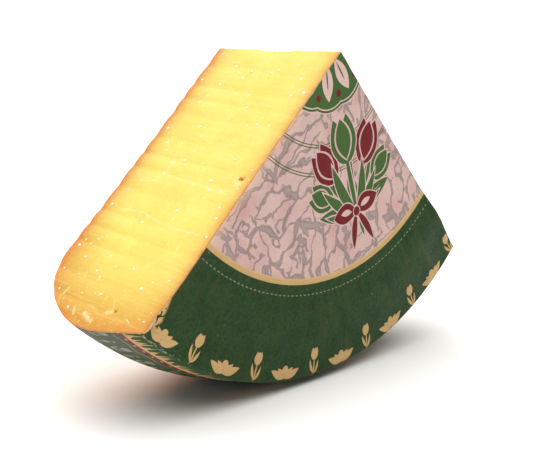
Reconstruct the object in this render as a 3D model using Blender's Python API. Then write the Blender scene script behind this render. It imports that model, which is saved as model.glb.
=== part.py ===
"""A quarter cut from a wheel of aged gouda, standing on its rim, in its printed paper label.

The wheel's axis lies along Y, with the labelled face towards -Y and the plain back towards +Y.
Z is up, and the origin is the middle of the small flat that the rim rests on. Metres throughout.
"""

import math

import bmesh
import bpy
from mathutils import Vector

# The wheel
THICKNESS = 0.0905          # from the labelled face to the back
RIM_RADIUS = 0.1855         # the widest circle of the rim
RIM_DEPTH = 0.0400          # depth of that circle behind the labelled face
RIM_SLOPE = 0.18            # fall of the rim towards the labelled face, per metre of depth
RIM_CROWN = 0.0013          # how far the crown of the rim rounds that slope off
RIDGE_FILLET = 0.0026       # rounding of the ridge between the labelled face and the rim
BACK_SHOULDER = 0.0385      # radial reach of the wide rounding towards the back
STANDING_FLAT = 0.0024      # how far the rim is pressed flat where the wedge stands on it

# The labelled face isn't quite flat: it swells inside the ridge and falls away towards it
SWELL_RADIUS = 0.146
SWELL_WIDTH = 0.017
SWELL_NEAR = 0.0003         # height of the swelling at the near cut
SWELL_FAR = 0.0022          # and at the far cut
EDGE_FALL_NEAR = 0.0016     # how far the face falls away by the ridge, at the near cut
EDGE_FALL_FAR = 0.0004      # and from below the axis to the far cut
EDGE_FALL_START = 0.155
EDGE_FALL_END = 0.176

# The two cuts, seen from the labelled face: they meet at the tip, beside the wheel's centre
TIP_SIDE = 0.01364          # the tip lies this far to +X of the wheel's centre
TIP_DROP = 0.00734          # and this far below it
NEAR_CUT_ANGLE = math.radians(47.5)   # the near cut, from straight down towards -X
CUT_ANGLE = math.radians(90.0)        # between the two cuts
FAR_CUT_ANGLE = CUT_ANGLE - NEAR_CUT_ANGLE
CUTTER_REACH = 0.215        # from the tip, past the rim
CUTTER_MARGIN = 0.012       # the cutter stands this far out of both faces

# The knife's strokes leave shallow scallops across each cut
STROKE_PITCH = 0.0133
STROKE_DEPTH = 0.0007
STROKE_SLANT = 0.083        # the strokes run outwards by this much per metre towards the label
STROKE_WANDER = 0.20        # unevenness of their spacing, in strokes
WANDER_LENGTH = 0.0075      # along the cut, for one radian of that unevenness
WANDER_START = 1.3

# The paper label, over the face and round the rim
LABEL_GAP = 0.0003
LABEL_THICKNESS = 0.0005
LABEL_END_DEPTH = 0.0510    # the label ends this deep, early on the back shoulder

# How finely the solids are faceted
ANGLE_STEPS = 144           # round the whole wheel
CROWN_POINTS = 9            # along the rim's slope
SHOULDER_POINTS = 12        # round the back shoulder
FILLET_POINTS = 3
CUT_STEPS = 63              # along each cut
DEPTH_SLICES = 9            # across each cut
FACE_RADII = (0.0, 0.060, 0.105, 0.125, 0.137, 0.147, 0.156, 0.164, 0.171)
BACK_RADII = (0.095, 0.045, 0.0)
SHARP_ANGLE = math.radians(35)

SHELL = LABEL_GAP + LABEL_THICKNESS
WHEEL_CENTRE = Vector((0.0, -RIM_DEPTH, RIM_RADIUS + SHELL - STANDING_FLAT))
TIP = WHEEL_CENTRE + Vector((TIP_SIDE, 0.0, -TIP_DROP))
NEAR_WAY = Vector((-math.sin(NEAR_CUT_ANGLE), 0.0, -math.cos(NEAR_CUT_ANGLE)))
FAR_WAY = Vector((math.sin(FAR_CUT_ANGLE), 0.0, -math.cos(FAR_CUT_ANGLE)))


def clear_scene():
    for thing in list(bpy.data.objects):
        bpy.data.objects.remove(thing, do_unlink=True)


def ease(value, start, end):
    """0 before start, 1 after end, with a smooth way between."""
    share = min(max((value - start) / (end - start), 0.0), 1.0)
    return share * share * (3 - 2 * share)


def rim_radius(depth):
    """The wheel's radius at a depth behind the labelled face, up to its widest circle."""
    fall = RIM_SLOPE * (RIM_DEPTH - depth)
    return RIM_RADIUS - (math.hypot(fall, RIM_CROWN) - RIM_CROWN)


def ridge_fillet():
    """Points of the rounding between the labelled face and the rim, face first."""
    slope = math.atan(RIM_SLOPE)
    centre_radius = rim_radius(RIDGE_FILLET) - RIDGE_FILLET / math.cos(slope)
    sweep = math.pi / 2 + slope
    for i in range(FILLET_POINTS + 1):
        turn = sweep * i / FILLET_POINTS
        yield (RIDGE_FILLET * (1 - math.cos(turn)), centre_radius + RIDGE_FILLET * math.sin(turn))


def shoulder_turn(depth):
    """How far round the back shoulder a depth is, as an angle from the widest circle."""
    return math.asin((depth - RIM_DEPTH) / (THICKNESS - RIM_DEPTH))


def section(last_depth=THICKNESS):
    """Half of the wheel's section as (depth, radius) points: out over the labelled face, then over the rim.

    It goes on to the middle of the back, or stops at last_depth.
    """
    points = [(0.0, radius) for radius in FACE_RADII]
    points += list(ridge_fillet())
    start = points[-1][0]
    for i in range(1, CROWN_POINTS + 1):
        depth = start + (RIM_DEPTH - start) * i / CROWN_POINTS
        points.append((depth, rim_radius(depth)))
    turns = [math.pi / 2 * i / SHOULDER_POINTS for i in range(1, SHOULDER_POINTS + 1)]
    turns.append(shoulder_turn(LABEL_END_DEPTH))
    for turn in sorted(turns):
        if turn <= shoulder_turn(last_depth):
            depth = RIM_DEPTH + (THICKNESS - RIM_DEPTH) * math.sin(turn)
            points.append((depth, RIM_RADIUS - BACK_SHOULDER * (1 - math.cos(turn))))
    if last_depth == THICKNESS:
        points += [(THICKNESS, radius) for radius in BACK_RADII]
    return points


def offset(points, distance):
    """The section moved outwards, square to itself."""
    moved = []
    for i, (depth, radius) in enumerate(points):
        before = points[max(i - 1, 0)]
        after = points[min(i + 1, len(points) - 1)]
        along = Vector((after[0] - before[0], after[1] - before[1])).normalized()
        moved.append((depth - along.y * distance, radius + along.x * distance))
    return moved


def face_relief(radius, angle):
    """How far the labelled face stands out of its plane, at an angle from straight down towards +X."""
    share = ease(angle, -NEAR_CUT_ANGLE, FAR_CUT_ANGLE)
    height = SWELL_NEAR + (SWELL_FAR - SWELL_NEAR) * share
    swell = height * math.exp(-(((radius - SWELL_RADIUS) / SWELL_WIDTH) ** 2))
    fall = EDGE_FALL_NEAR + (EDGE_FALL_FAR - EDGE_FALL_NEAR) * ease(angle, -NEAR_CUT_ANGLE, 0.0)
    return swell - fall * ease(radius, EDGE_FALL_START, EDGE_FALL_END)


def revolve(name, points, floors, closed):
    """A turned body from (depth, radius) points, with the face's relief.

    It is pressed flat where it stands: no point comes below its own height in floors.
    """
    shape = bmesh.new()
    floor = shape.verts.layers.float.new("floor")
    row = [shape.verts.new((radius, depth, 0.0)) for depth, radius in points]
    for point, height in zip(row, floors):
        point[floor] = height
    edges = [shape.edges.new(pair) for pair in zip(row, row[1:])]
    if closed:
        edges.append(shape.edges.new((row[-1], row[0])))
    bmesh.ops.spin(
        shape, geom=row + edges, cent=(0, 0, 0), axis=(0, 1, 0), dvec=(0, 0, 0),
        angle=2 * math.pi, steps=ANGLE_STEPS, use_merge=True, use_duplicate=False,
    )
    bmesh.ops.remove_doubles(shape, verts=shape.verts[:], dist=1e-6)
    bmesh.ops.recalc_face_normals(shape, faces=shape.faces[:])
    for point in shape.verts:
        radius = math.hypot(point.co.x, point.co.z)
        angle = math.atan2(point.co.x, -point.co.z)
        face_share = 1 - ease(point.co.y, 0.0, RIM_DEPTH / 2)
        point.co.y -= face_relief(radius, angle) * face_share
        point.co += WHEEL_CENTRE
        point.co.z = max(point.co.z, point[floor])
    return to_object(name, shape)


def to_object(name, shape):
    mesh = bpy.data.meshes.new(name)
    shape.to_mesh(mesh)
    shape.free()
    thing = bpy.data.objects.new(name, mesh)
    bpy.context.collection.objects.link(thing)
    return thing


def stroke_relief(distance, depth):
    """How far a cut face stands out, at a distance from the tip and a depth behind the labelled face."""
    along = distance - STROKE_SLANT * (THICKNESS - depth)
    strokes = along / STROKE_PITCH + STROKE_WANDER * math.sin(along / WANDER_LENGTH + WANDER_START)
    return STROKE_DEPTH * (abs(math.sin(math.pi * strokes)) - 0.5)


def make_cutter():
    """A square prism with its corner at the tip, whose two faces through the tip carry the knife's strokes."""
    steps = [CUTTER_REACH * i / CUT_STEPS for i in range(CUT_STEPS + 1)]
    outline = [TIP + NEAR_WAY * step for step in reversed(steps)]
    outline += [TIP + FAR_WAY * step for step in steps[1:]]
    outline.append(TIP + (NEAR_WAY + FAR_WAY) * CUTTER_REACH)
    shape = bmesh.new()
    start = Vector((0.0, -CUTTER_MARGIN, 0.0))
    cap = shape.faces.new([shape.verts.new(point + start) for point in outline])
    move = Vector((0.0, (THICKNESS + 2 * CUTTER_MARGIN) / DEPTH_SLICES, 0.0))
    for i in range(DEPTH_SLICES):
        made = bmesh.ops.extrude_face_region(shape, geom=[cap])["geom"]
        if i > 0:
            shape.faces.remove(cap)
        cap = next(item for item in made if isinstance(item, bmesh.types.BMFace))
        bmesh.ops.translate(shape, verts=cap.verts[:], vec=move)
    for point in shape.verts:
        arm = point.co - TIP
        near = arm.dot(NEAR_WAY)
        far = arm.dot(FAR_WAY)
        depth = point.co.y + RIM_DEPTH
        if abs(far) < 1e-6:
            point.co -= FAR_WAY * stroke_relief(near, depth)
        if abs(near) < 1e-6:
            point.co -= NEAR_WAY * stroke_relief(far + STROKE_PITCH / 2, depth)
    bmesh.ops.recalc_face_normals(shape, faces=shape.faces[:])
    cutter = to_object("knife_cutter", shape)
    cutter.hide_render = True
    cutter.display_type = "WIRE"
    return cutter


def material(name, colour, roughness):
    made = bpy.data.materials.new(name)
    made.use_nodes = True
    shader = made.node_tree.nodes["Principled BSDF"]
    shader.inputs["Base Color"].default_value = (*colour, 1.0)
    shader.inputs["Roughness"].default_value = roughness
    shader.inputs["Metallic"].default_value = 0.0
    return made


def cut_out(thing, cutter):
    """Keeps what lies between the two cuts, smooth shaded but for its arrises."""
    cut = thing.modifiers.new("cut", "BOOLEAN")
    cut.operation = "INTERSECT"
    cut.solver = "EXACT"
    cut.object = cutter
    thing.data.shade_smooth()
    thing.data.set_sharp_from_angle(angle=SHARP_ANGLE)


def make_cheese(cutter):
    """The cheese meets the ground behind the label, and stays clear of it by the label's shell elsewhere."""
    points = section()
    floors = [SHELL if depth <= LABEL_END_DEPTH else 0.0 for depth, radius in points]
    cheese = revolve("cheese_wedge", points, floors, closed=False)
    cheese.data.materials.append(material("aged_gouda", (0.93, 0.68, 0.24), 0.45))
    cut_out(cheese, cutter)


def make_label(cutter):
    """A closed shell of paper: its inner side keeps a gap to the cheese, and its outer side meets the ground."""
    base = section(LABEL_END_DEPTH)
    inner = offset(base, LABEL_GAP)
    outer = offset(base, SHELL)
    floors = [0.0] * len(outer) + [LABEL_THICKNESS] * len(inner)
    label = revolve("paper_label", outer + inner[::-1], floors, closed=True)
    label.data.materials.append(material("printed_paper", (0.05, 0.11, 0.06), 0.6))
    cut_out(label, cutter)


def main():
    clear_scene()
    cutter = make_cutter()
    make_cheese(cutter)
    make_label(cutter)


main()
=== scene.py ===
"""Dresses a packed quarter wheel of aged gouda: its paste, crystals, rind and printed paper label.

The wheel's axis lies along Y, with the labelled face towards -Y. Z is up, and the origin is the middle
of the small flat that the rim rests on. Everything is in metres.
"""

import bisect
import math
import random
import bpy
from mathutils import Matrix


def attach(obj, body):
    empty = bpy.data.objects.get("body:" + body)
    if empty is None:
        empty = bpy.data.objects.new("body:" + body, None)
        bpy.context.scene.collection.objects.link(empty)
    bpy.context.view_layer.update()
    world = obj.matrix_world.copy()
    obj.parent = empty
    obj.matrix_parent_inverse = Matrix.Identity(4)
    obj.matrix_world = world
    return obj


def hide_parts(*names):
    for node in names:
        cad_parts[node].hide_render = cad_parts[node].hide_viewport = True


bl_info = {
    "name": "Aged Gouda Quarter",
    "version": (1, 0, 0),
    "blender": (4, 5, 0),
    "location": "3D View > Sidebar > Gouda",
    "description": "Builds a quarter wheel of aged gouda with crystals, rind and a printed paper label",
    "category": "Object",
}

from functools import partialmethod

import bmesh
import bpy
from mathutils import Matrix, Vector, kdtree, noise

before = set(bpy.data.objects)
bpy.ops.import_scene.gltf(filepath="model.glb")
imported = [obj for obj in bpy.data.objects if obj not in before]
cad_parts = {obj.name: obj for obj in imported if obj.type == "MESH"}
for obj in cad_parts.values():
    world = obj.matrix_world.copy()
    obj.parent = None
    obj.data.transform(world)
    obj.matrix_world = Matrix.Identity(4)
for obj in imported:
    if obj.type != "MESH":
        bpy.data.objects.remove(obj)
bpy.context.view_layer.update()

# The wheel's section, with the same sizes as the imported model
THICKNESS = 0.0905
RIM_RADIUS = 0.1855
RIM_DEPTH = 0.0400
RIM_SLOPE = 0.18
RIM_CROWN = 0.0013
RIDGE_FILLET = 0.0026
BACK_SHOULDER = 0.0385
SWELL_RADIUS = 0.146
SWELL_WIDTH = 0.017
SWELL_NEAR = 0.0003
SWELL_FAR = 0.0022
EDGE_FALL_NEAR = 0.0016
EDGE_FALL_FAR = 0.0004
EDGE_FALL_START = 0.155
EDGE_FALL_END = 0.176
LABEL_END_DEPTH = 0.0510
WHEEL_CENTRE = Vector((0.0, -RIM_DEPTH, 0.1839))

# The two cuts meet at the tip, beside the wheel's centre
TIP = WHEEL_CENTRE + Vector((0.01364, 0.0, -0.00734))
NEAR_CUT_ANGLE = math.radians(47.5)
FAR_CUT_ANGLE = math.radians(42.5)
NEAR_WAY = Vector((-math.sin(NEAR_CUT_ANGLE), 0.0, -math.cos(NEAR_CUT_ANGLE)))
FAR_WAY = Vector((math.sin(FAR_CUT_ANGLE), 0.0, -math.cos(FAR_CUT_ANGLE)))
TIP_NEAR = (TIP - WHEEL_CENTRE).dot(NEAR_WAY)
TIP_FAR = (TIP - WHEEL_CENTRE).dot(FAR_WAY)
STROKE_PITCH = 0.0133
STROKE_SLANT = 0.083
STROKE_WANDER = 0.20
WANDER_LENGTH = 0.0075
WANDER_START = 1.3
PAPER_BED = 0.0005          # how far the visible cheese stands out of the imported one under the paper
PAPER_INSIDE = 0.00054      # how far out the inner side of the visible paper lies
STAND_LIFT = 0.0003         # how far the cheese is kept off the floor where paper lies under it
PAST_PAPER = 0.0002         # and this far past the paper's end
ON_CUT = 2e-6               # a corner this near a cut's plane lies on the cut

# Unevenness, as the height and length of soft noise, and for the back also where in the noise it lies
SKIN_LUMPS = ((0.00028, 0.034), (0.00010, 0.011))
BACK_LUMPS = ((0.0003, 0.045, 3.0), (0.00012, 0.012, 7.0))
CUT_WAVES = (0.00018, 0.030)
CUT_DRAG_LINES = (0.00006, 0.0022)
CUT_ROUGHNESS = (0.00005, 0.0016)
DRAG_LINE_LENGTH = 0.03
BACK_HOLLOW = 0.0010

# How finely the pieces are meshed
CUT_COLUMNS = 220           # from the tip to the rim
CUT_ROWS = 110              # from the labelled face to the back
SKIN_COLUMNS = 64           # from the near cut to the far one
LABEL_COLUMNS = 96
LABEL_FACE_ROWS = 76
LABEL_RIDGE_ROWS = 8
LABEL_RIM_ROWS = 44


def from_screen(red, green, blue):
    """Linear values of a colour as a screen shows it, from 0 to 255."""
    linear = []
    for value in (red, green, blue):
        share = value / 255
        linear.append(share / 12.92 if share <= 0.04045 else ((share + 0.055) / 1.055) ** 2.4)
    return tuple(linear)


def colour_setting(name, description, *screen):
    return bpy.props.FloatVectorProperty(
        name=name, description=description, default=from_screen(*screen), min=0.0, max=1.0, size=3,
        subtype="COLOR",
    )


def length_setting(name, description, default):
    return bpy.props.FloatProperty(
        name=name, description=description, default=default, min=0.0, subtype="DISTANCE", unit="LENGTH",
        precision=5,
    )


def strength_setting(name, description, default):
    return bpy.props.FloatProperty(name=name, description=description, default=default, min=0.0)


class GoudaPaste(bpy.types.PropertyGroup):
    """The cut cheese."""

    heart: colour_setting("Heart", "Paste in the middle of the cut", 231, 217, 102)
    warm: colour_setting("Towards the rim", "Paste within a few centimetres of the rim", 212, 164, 60)
    edge: colour_setting("Under the rind", "Dry paste just under the rind", 204, 118, 38)
    arris: colour_setting("Arris", "The thin line where the rind is cut", 176, 84, 18)
    pale: colour_setting("Pale marks", "Knife lines and dry patches", 244, 228, 168)
    stroke_depth: length_setting("Stroke depth", "Depth of the knife's scallops", 0.00055)
    tip_dip: length_setting("Tip dip", "How far the tip's edge dips in its middle", 0.0009)


class GoudaCrystals(bpy.types.PropertyGroup):
    """The white crystals that stud both cuts."""

    colour: colour_setting("Colour", "Crystals", 255, 253, 240)
    bright: bpy.props.IntProperty(name="Bright", description="Large crystals on each cut", default=52, min=0)
    faint: bpy.props.IntProperty(name="Faint", description="Small crystals on each cut", default=38, min=0)
    radius: length_setting("Radius", "Radius of a large crystal", 0.00118)


class GoudaRind(bpy.types.PropertyGroup):
    """The waxy rind on the rim and the back."""

    golden: colour_setting("Golden", "Most of the rind", 219, 160, 62)
    brown: colour_setting("Brown", "Its darker blotches", 182, 114, 42)
    scuff: colour_setting("Scuffs", "Dry rubbed places", 226, 186, 110)


class GoudaLabel(bpy.types.PropertyGroup):
    """The printed paper over the labelled face and round the rim."""

    paper: length_setting("Paper", "Thickness of the paper", 0.00016)
    green: colour_setting("Dark green", "The wide band and the rim", 44, 77, 37)
    leaf: colour_setting("Leaf green", "Flowers, leaves and fine rings", 70, 104, 50)
    gold: colour_setting("Ochre", "The ring, the border and the rim's line", 210, 173, 117)
    pink: colour_setting("Pink", "Ground of the marbled field", 217, 184, 177)
    vein: colour_setting("Veins", "Veins of the marbled field", 158, 144, 142)
    red: colour_setting("Dark red", "The bow and the rim's bands", 118, 26, 34)
    fibre: colour_setting("Fibre", "Bare paper where the print is worn", 214, 204, 186)


class GoudaStudio(bpy.types.PropertyGroup):
    """Light and camera."""

    key_power: strength_setting("Key light", "Strength of the soft light from above", 4.0)
    fill: strength_setting("Surroundings", "Strength of the white surroundings", 0.24)


# The wheel's outline, measured along itself from the axis


def ease(value, start, end):
    """0 before start, 1 after end, with a smooth way between."""
    share = min(max((value - start) / (end - start), 0.0), 1.0)
    return share * share * (3 - 2 * share)


def rim_radius(depth):
    fall = RIM_SLOPE * (RIM_DEPTH - depth)
    return RIM_RADIUS - (math.hypot(fall, RIM_CROWN) - RIM_CROWN)


def trace_section():
    """Close samples of the section as (depth, radius), over the face, ridge, rim and back shoulder."""
    slope = math.atan(RIM_SLOPE)
    ridge_radius = rim_radius(RIDGE_FILLET) - RIDGE_FILLET / math.cos(slope)
    points = [(0.0, 0.0)]
    for i in range(25):
        turn = (math.pi / 2 + slope) * i / 24
        points.append((RIDGE_FILLET * (1 - math.cos(turn)), ridge_radius + RIDGE_FILLET * math.sin(turn)))
    start = points[-1][0]
    for i in range(1, 61):
        depth = start + (RIM_DEPTH - start) * i / 60
        points.append((depth, rim_radius(depth)))
    for i in range(1, 91):
        turn = math.pi / 2 * i / 90
        depth = RIM_DEPTH + (THICKNESS - RIM_DEPTH) * math.sin(turn)
        points.append((depth, RIM_RADIUS - BACK_SHOULDER * (1 - math.cos(turn))))
    return points


def measure_section(points):
    """The same samples as (length, depth, radius, outward depth, outward radius)."""
    samples = []
    length = 0.0
    for i, (depth, radius) in enumerate(points):
        if i:
            length += math.dist(points[i - 1], points[i])
        before = points[max(i - 1, 0)]
        after = points[min(i + 1, len(points) - 1)]
        along = Vector((after[0] - before[0], after[1] - before[1])).normalized()
        samples.append((length, depth, radius, -along.y, along.x))
    return samples


SECTION = measure_section(trace_section())
SECTION_LENGTHS = [sample[0] for sample in SECTION]
FACE_END = SECTION[1][0]
RIDGE_RADIUS = SECTION[1][2]
RIDGE = SECTION[13][0]
SHOULDER_END = SECTION[-1][0]
LABEL_END = next(sample[0] for sample in SECTION if sample[1] >= LABEL_END_DEPTH)


def on_section(length):
    """(depth, radius, outward depth, outward radius) at a length along the section."""
    i = min(max(bisect.bisect_right(SECTION_LENGTHS, length), 1), len(SECTION) - 1)
    before = SECTION[i - 1]
    after = SECTION[i]
    share = min(max((length - before[0]) / (after[0] - before[0]), 0.0), 1.0)
    return [first + (second - first) * share for first, second in zip(before[1:], after[1:])]


def cut_angle(radius, far):
    """The angle from straight down towards +X at which a cut meets a circle round the axis."""
    if far:
        return FAR_CUT_ANGLE - math.asin(TIP_NEAR / radius)
    return -NEAR_CUT_ANGLE + math.asin(TIP_FAR / radius)


def between_cuts(radius, share):
    near = cut_angle(radius, False)
    return near + (cut_angle(radius, True) - near) * share


def unevenness(length, angle):
    """Gentle lumps of the whole skin, the same for the rind and for the paper on it."""
    place = Vector((length * math.sin(angle), -length * math.cos(angle), 0.0))
    return sum(height * noise.noise(place / length) for height, length in SKIN_LUMPS)


def face_relief(radius, angle):
    """How far the labelled face stands out of its plane."""
    share = ease(angle, -NEAR_CUT_ANGLE, FAR_CUT_ANGLE)
    height = SWELL_NEAR + (SWELL_FAR - SWELL_NEAR) * share
    swell = height * math.exp(-(((radius - SWELL_RADIUS) / SWELL_WIDTH) ** 2))
    fall = EDGE_FALL_NEAR + (EDGE_FALL_FAR - EDGE_FALL_NEAR) * ease(angle, -NEAR_CUT_ANGLE, 0.0)
    return swell - fall * ease(radius, EDGE_FALL_START, EDGE_FALL_END)


def skin_point(length, share, proud):
    """A place on the ridge, rim or shoulder, a share of the way from the near cut to the far one."""
    depth, radius, out_depth, out_radius = on_section(length)
    proud += unevenness(length, between_cuts(radius, share))
    depth += out_depth * proud
    radius += out_radius * proud
    angle = between_cuts(radius, share)
    relief = face_relief(radius, angle) * (1 - ease(depth, 0.0, RIM_DEPTH / 2))
    return WHEEL_CENTRE + Vector((radius * math.sin(angle), depth - relief, -radius * math.cos(angle)))


def around_axis(x, z):
    """How far a place lies from the wheel's axis, and its angle from straight down towards +X."""
    side = x - WHEEL_CENTRE.x
    fall = WHEEL_CENTRE.z - z
    return math.hypot(side, fall), math.atan2(side, fall)


def face_point(x, z, proud):
    """A place on the labelled face or the near half of the ridge, straight in front of (x, z)."""
    radius, angle = around_axis(x, z)
    proud += unevenness(radius, angle)
    past = max(radius - RIDGE_RADIUS, 0.0)
    depth = RIDGE_FILLET - math.sqrt(max((RIDGE_FILLET + proud) ** 2 - past * past, 0.0))
    return Vector((x, WHEEL_CENTRE.y + depth - face_relief(radius, angle), z))


def back_point(x, z):
    """A place on the back, which is a little hollow between its middle and the shoulder."""
    radius, _ = around_axis(x, z)
    swell = -BACK_HOLLOW * ease(radius, 0.025, 0.065) * (1 - ease(radius, 0.115, 0.145))
    swell += sum(height * noise.noise(Vector((x, y, z)) / length) for height, length, y in BACK_LUMPS)
    return Vector((x, WHEEL_CENTRE.y + THICKNESS + swell, z))


# The cuts


def stroke_relief(distance, depth, stroke_depth):
    """The knife's scallops, at a distance from the tip and a depth behind the labelled face."""
    along = distance - STROKE_SLANT * (THICKNESS - depth)
    strokes = along / STROKE_PITCH + STROKE_WANDER * math.sin(along / WANDER_LENGTH + WANDER_START)
    deeper = 0.35 + 0.65 * ease(depth, 0.2 * THICKNESS, 0.9 * THICKNESS)
    return deeper * stroke_depth * (abs(math.sin(math.pi * strokes)) - 0.5)


def make_pits(far):
    """Holes in a cut as (distance, depth, radius, how deep). The photo shows the near cut's first two."""
    chance = random.Random(31 if far else 12)
    pits = [] if far else [(0.0901, 0.0065, 0.0013, 0.0016), (0.1776, 0.0278, 0.0008, 0.0012)]
    for _ in range(9):
        pits.append((
            chance.uniform(0.02, 0.165), chance.uniform(0.012, 0.078),
            chance.uniform(0.0005, 0.0009), chance.uniform(0.0003, 0.0007),
        ))
    return pits


PITS = {False: make_pits(False), True: make_pits(True)}

# Painted shade in the first two of those: darker paste laid where the holes are, as ((distance, depth),
# radius)
HOLE_SHADE_SPOTS = (((0.0901, 0.0084), 0.0011), ((0.1776, 0.0270), 0.0008))

# Dry pale marks and scratches of the near cut, as (start, end, half the width), each end (distance, depth)
DRY_MARKS = (
    ((0.0926, 0.0094), (0.0940, 0.0076), 0.0018),
    ((0.1768, 0.0716), (0.1722, 0.0696), 0.0008),
    ((0.1806, 0.0557), (0.1850, 0.0534), 0.0007),
    ((0.1830, 0.0460), (0.1858, 0.0386), 0.0016),
    ((0.1789, 0.0322), (0.1784, 0.0296), 0.0015),
    ((0.1716, 0.0327), (0.1776, 0.0286), 0.0003),
    ((0.1797, 0.0165), (0.1812, 0.0132), 0.0004),
    ((0.1780, 0.0090), (0.1778, 0.0080), 0.0005),
    ((0.0850, 0.0630), (0.0866, 0.0618), 0.0022),
)

# Its fine cracks, as chains of (distance, depth)
CRACKS = (
    ((0.1198, 0.0725), (0.1197, 0.0581), (0.1249, 0.0378), (0.1262, 0.0200), (0.1267, 0.0099)),
    ((0.1006, 0.0767), (0.0996, 0.0660), (0.0927, 0.0615), (0.0803, 0.0645)),
    ((0.0927, 0.0615), (0.0968, 0.0451), (0.0982, 0.0295), (0.1005, 0.0102)),
)


def cut_relief(distance, depth, far, stroke_depth):
    """How far a cut stands out: scallops, slight waves, fine drag lines, roughness and pits."""
    shift = 40.0 if far else 0.0
    place = Vector((distance, depth + shift, 0.0))
    along = distance - STROKE_SLANT * (THICKNESS - depth)
    relief = stroke_relief(distance + (STROKE_PITCH / 2 if far else 0.0), depth, stroke_depth)
    relief += CUT_WAVES[0] * noise.noise(place / CUT_WAVES[1])
    stretched = Vector((along / CUT_DRAG_LINES[1], depth / DRAG_LINE_LENGTH + shift, 5.0))
    relief += CUT_DRAG_LINES[0] * noise.noise(stretched)
    relief += CUT_ROUGHNESS[0] * noise.noise(place / CUT_ROUGHNESS[1])
    for pit_distance, pit_depth, radius, deep in PITS[far]:
        reach = math.hypot(distance - pit_distance, depth - pit_depth) / radius
        if reach < 2:
            relief -= deep * math.exp(-(reach ** 4))
    return relief


def tip_dip(distance, depth, dip):
    """The tip's edge dips a little in its middle third."""
    start = ease(depth, 0.34 * THICKNESS, 0.41 * THICKNESS)
    middle = start - ease(depth, 0.60 * THICKNESS, 0.66 * THICKNESS)
    return dip * middle * math.exp(-((distance / 0.004) ** 2))


def from_tip(place):
    """How far a place lies from the tip along the near cut and along the far one, and its depth."""
    arm = place - TIP
    return arm.dot(NEAR_WAY), arm.dot(FAR_WAY), place.y + RIM_DEPTH


def follow_cuts(place, stroke_depth, fade):
    """Moves a place beside a cut by as much as the cut stands out there, fading with the distance from it."""
    near, far, depth = from_tip(place)
    moved = place.copy()
    if far < fade:
        moved -= FAR_WAY * cut_relief(near, depth, False, stroke_depth) * (1 - max(far, 0.0) / fade)
    if near < fade:
        moved -= NEAR_WAY * cut_relief(far, depth, True, stroke_depth) * (1 - max(near, 0.0) / fade)
    return moved


# Mesh helpers


def add_patch(shape, columns, rows, place, finish):
    """A grid of faces whose corners go where place says. Returns them as (corner, column, row)."""
    made = bmesh.ops.create_grid(shape, x_segments=columns, y_segments=rows, size=0.5)["verts"]
    corners = [
        (point, round((point.co.x + 0.5) * columns), round((point.co.y + 0.5) * rows)) for point in made
    ]
    for point, i, j in corners:
        point.co = place(i, j)
    for face in {face for point in made for face in point.link_faces}:
        face.material_index = finish
    return corners


def new_piece(name, shape, finishes):
    mesh = bpy.data.meshes.new(name)
    shape.to_mesh(mesh)
    shape.free()
    for finish in finishes:
        mesh.materials.append(finish)
    piece = bpy.data.objects.new(name, mesh)
    bpy.context.collection.objects.link(piece)
    return piece


def bed_height(length):
    """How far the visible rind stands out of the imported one: it fills the gap under the paper."""
    return PAPER_BED * (1 - ease(length, LABEL_END, LABEL_END + 0.022))


SKIN_LENGTHS = [RIDGE + (SHOULDER_END - RIDGE) * j / CUT_ROWS for j in range(CUT_ROWS + 1)]


def bare_skin_point(row, share):
    """A place of the visible rind, in one of the rows from the ridge to the end of the shoulder."""
    return skin_point(SKIN_LENGTHS[row], share, bed_height(SKIN_LENGTHS[row]))


def bare_face_point(x, z):
    return face_point(x, z, PAPER_BED)


class CutOutline:
    """The four sides of a cut face, as places on its plane: (distance from the tip, depth)."""

    def __init__(self, far):
        self.way = FAR_WAY if far else NEAR_WAY
        skin = [bare_skin_point(row, 1.0 if far else 0.0) for row in range(CUT_ROWS + 1)]
        self.rim = [self.flat(point) for point in skin]
        self.face = []
        self.back = []
        for i in range(CUT_COLUMNS + 1):
            ahead = TIP.lerp(skin[0], i / CUT_COLUMNS)
            behind = TIP.lerp(skin[-1], i / CUT_COLUMNS)
            self.face.append(self.flat(bare_face_point(ahead.x, ahead.z)))
            self.back.append(self.flat(back_point(behind.x, behind.z)))
        self.face[-1] = self.rim[0]
        self.back[-1] = self.rim[-1]

    def flat(self, point):
        return Vector(((point - TIP).dot(self.way), point.y + RIM_DEPTH))

    def place(self, i, j):
        """A place inside the outline, blended from its four sides."""
        u = i / CUT_COLUMNS
        v = j / CUT_ROWS
        tip = self.face[0].lerp(self.back[0], v)
        across = self.face[i].lerp(self.back[i], v)
        along = tip.lerp(self.rim[j], u)
        low = self.face[0].lerp(self.face[-1], u)
        high = self.back[0].lerp(self.back[-1], u)
        spot = across + along - low.lerp(high, v)
        return Vector((TIP.x + self.way.x * spot.x, spot.y - RIM_DEPTH, TIP.z + self.way.z * spot.x))


def depth_between_faces(x, z, depth):
    """The depth at a place of a cut, stretched to be 0 at the bulging face and the thickness at the back."""
    radius, angle = around_axis(x, z)
    front = -face_relief(min(radius, RIDGE_RADIUS), angle) - PAPER_BED
    back = back_point(x, z).y + RIM_DEPTH
    return (depth - front) / (back - front) * THICKNESS


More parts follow.
